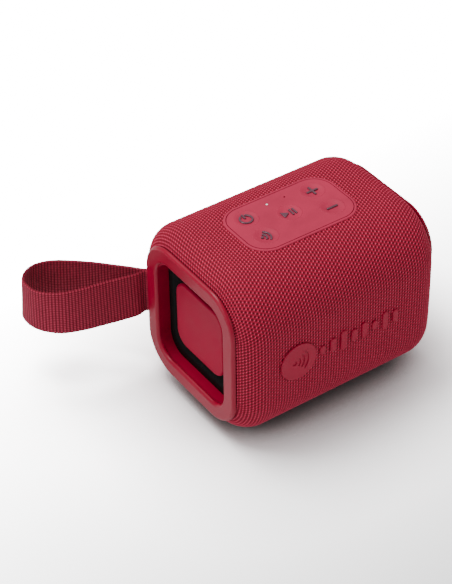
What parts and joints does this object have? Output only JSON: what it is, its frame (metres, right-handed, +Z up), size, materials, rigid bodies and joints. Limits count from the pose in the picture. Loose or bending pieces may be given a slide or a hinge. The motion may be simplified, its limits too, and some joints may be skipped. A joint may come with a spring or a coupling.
{
  "type": "party speaker",
  "caption": "Small fabric-wrapped party speaker with a rubber key panel on top, a passive radiator in each end, a rear charging port under a flap and a webbing carry strap.",
  "frame": {"origin": "centre of the body footprint, on the surface the speaker stands on", "axes": "+Z up, +X along the body away from the strap, front trim facing -Y"},
  "size_m": [0.1702, 0.1241, 0.094],
  "materials": {
    "fabric_knit": "open-hole knit",
    "frame_plastic": "satin moulded",
    "panel_rubber": "soft-touch",
    "key_rubber": "soft-touch",
    "radiator_plate": "satin moulded",
    "black_rubber": "matt",
    "inner_plastic": "moulded",
    "trim_rubber": "smooth",
    "screw_steel": "plated",
    "magnet_iron": "plated",
    "cone_paper": "pulp",
    "cell_wrap": "shrink sleeve",
    "board_laminate": "solder mask",
    "chip_epoxy": "moulded",
    "light_pipe": "clear",
    "webbing": "ribbed weave",
    "lead_jacket": "smooth"
  },
  "bodies": {
    "cabinet": {"badge_disc": "trim_rubber", "battery_cells": "cell_wrap", "battery_cradle": "inner_plastic", "battery_lead": "lead_jacket", "case_screws": "screw_steel", "charge_board": "board_laminate", "charge_socket": "screw_steel", "dome_switches": "screw_steel", "driver_leads": "lead_jacket", "driver_screws": "screw_steel", "fabric_sleeve": "fabric_knit", "foot_pad": "black_rubber", "frame_screws": "screw_steel", "front_shell": "inner_plastic", "key_board": "board_laminate", "key_board_screws": "screw_steel", "key_flat_cable": "lead_jacket", "left_driver_basket": "inner_plastic", "left_driver_magnet": "magnet_iron", "left_driver_surround": "black_rubber", "left_end_frame": "frame_plastic", "left_radiator_carrier": "inner_plastic", "left_radiator_surround": "black_rubber", "level_bars": "trim_rubber", "main_board": "board_laminate", "main_board_screws": "screw_steel", "microphone": "chip_epoxy", "panel_gasket": "black_rubber", "panel_overlay": "panel_rubber", "panel_tray": "panel_rubber", "port_bezel": "frame_plastic", "port_flap_pin": "screw_steel", "power_chips": "chip_epoxy", "rear_shell": "inner_plastic", "right_driver_basket": "inner_plastic", "right_driver_magnet": "magnet_iron", "right_driver_surround": "black_rubber", "right_end_frame": "frame_plastic", "right_radiator_carrier": "inner_plastic", "right_radiator_surround": "black_rubber", "shell_gasket": "black_rubber", "status_led": "chip_epoxy", "status_light_pipe": "light_pipe", "strap_cup": "frame_plastic", "strap_pin": "screw_steel", "strap_tab": "webbing", "wireless_module": "chip_epoxy"},
    "left_radiator": {"left_radiator_plate": "radiator_plate", "left_radiator_weight": "screw_steel"},
    "right_radiator": {"right_radiator_plate": "radiator_plate", "right_radiator_weight": "screw_steel"},
    "left_cone": {"left_driver_cone": "cone_paper"},
    "right_cone": {"right_driver_cone": "cone_paper"},
    "charge_flap": {"port_flap": "key_rubber"},
    "carry_strap": {"strap_webbing": "webbing"},
    "key_power_body": {"key_power": "key_rubber"},
    "key_pairing_body": {"key_pairing": "key_rubber"},
    "key_play_body": {"key_play": "key_rubber"},
    "key_volume_up_body": {"key_volume_up": "key_rubber"},
    "key_volume_down_body": {"key_volume_down": "key_rubber"}
  },
  "joints": [
    {"name": "power_press", "type": "slide", "parent": "cabinet", "child": "key_power_body", "axis": [0, 0, -1], "range_m": [0, 0.0005], "stiffness_N_per_m": 600},
    {"name": "pairing_press", "type": "slide", "parent": "cabinet", "child": "key_pairing_body", "axis": [0, 0, -1], "range_m": [0, 0.0005], "stiffness_N_per_m": 600},
    {"name": "play_press", "type": "slide", "parent": "cabinet", "child": "key_play_body", "axis": [0, 0, -1], "range_m": [0, 0.0005], "stiffness_N_per_m": 600},
    {"name": "volume_up_press", "type": "slide", "parent": "cabinet", "child": "key_volume_up_body", "axis": [0, 0, -1], "range_m": [0, 0.0005], "stiffness_N_per_m": 600},
    {"name": "volume_down_press", "type": "slide", "parent": "cabinet", "child": "key_volume_down_body", "axis": [0, 0, -1], "range_m": [0, 0.0005], "stiffness_N_per_m": 600},
    {"name": "left_radiator_stroke", "type": "slide", "parent": "cabinet", "child": "left_radiator", "axis": [-1, 0, 0], "range_m": [-0.002, 0.0025], "stiffness_N_per_m": 2500, "deforming": ["left_radiator_surround"]},
    {"name": "right_radiator_stroke", "type": "slide", "parent": "cabinet", "child": "right_radiator", "axis": [1, 0, 0], "range_m": [-0.002, 0.0025], "stiffness_N_per_m": 2500, "deforming": ["right_radiator_surround"]},
    {"name": "left_cone_stroke", "type": "slide", "parent": "cabinet", "child": "left_cone", "axis": [0, -1, 0], "range_m": [-0.0012, 0.0012], "stiffness_N_per_m": 1500, "deforming": ["left_driver_surround"]},
    {"name": "right_cone_stroke", "type": "slide", "parent": "cabinet", "child": "right_cone", "axis": [0, -1, 0], "range_m": [-0.0012, 0.0012], "stiffness_N_per_m": 1500, "deforming": ["right_driver_surround"]},
    {"name": "charge_flap_hinge", "type": "hinge", "parent": "cabinet", "child": "charge_flap", "pos_m": [0, 0.0449, 0.0279], "axis": [1, 0, 0], "range_deg": [0, 95]},
    {"name": "strap_swing", "type": "hinge", "parent": "cabinet", "child": "carry_strap", "pos_m": [-0.05607, 0.03995, 0.0475], "axis": [0, 0, 1], "range_deg": [-25, 25]}
  ]
}
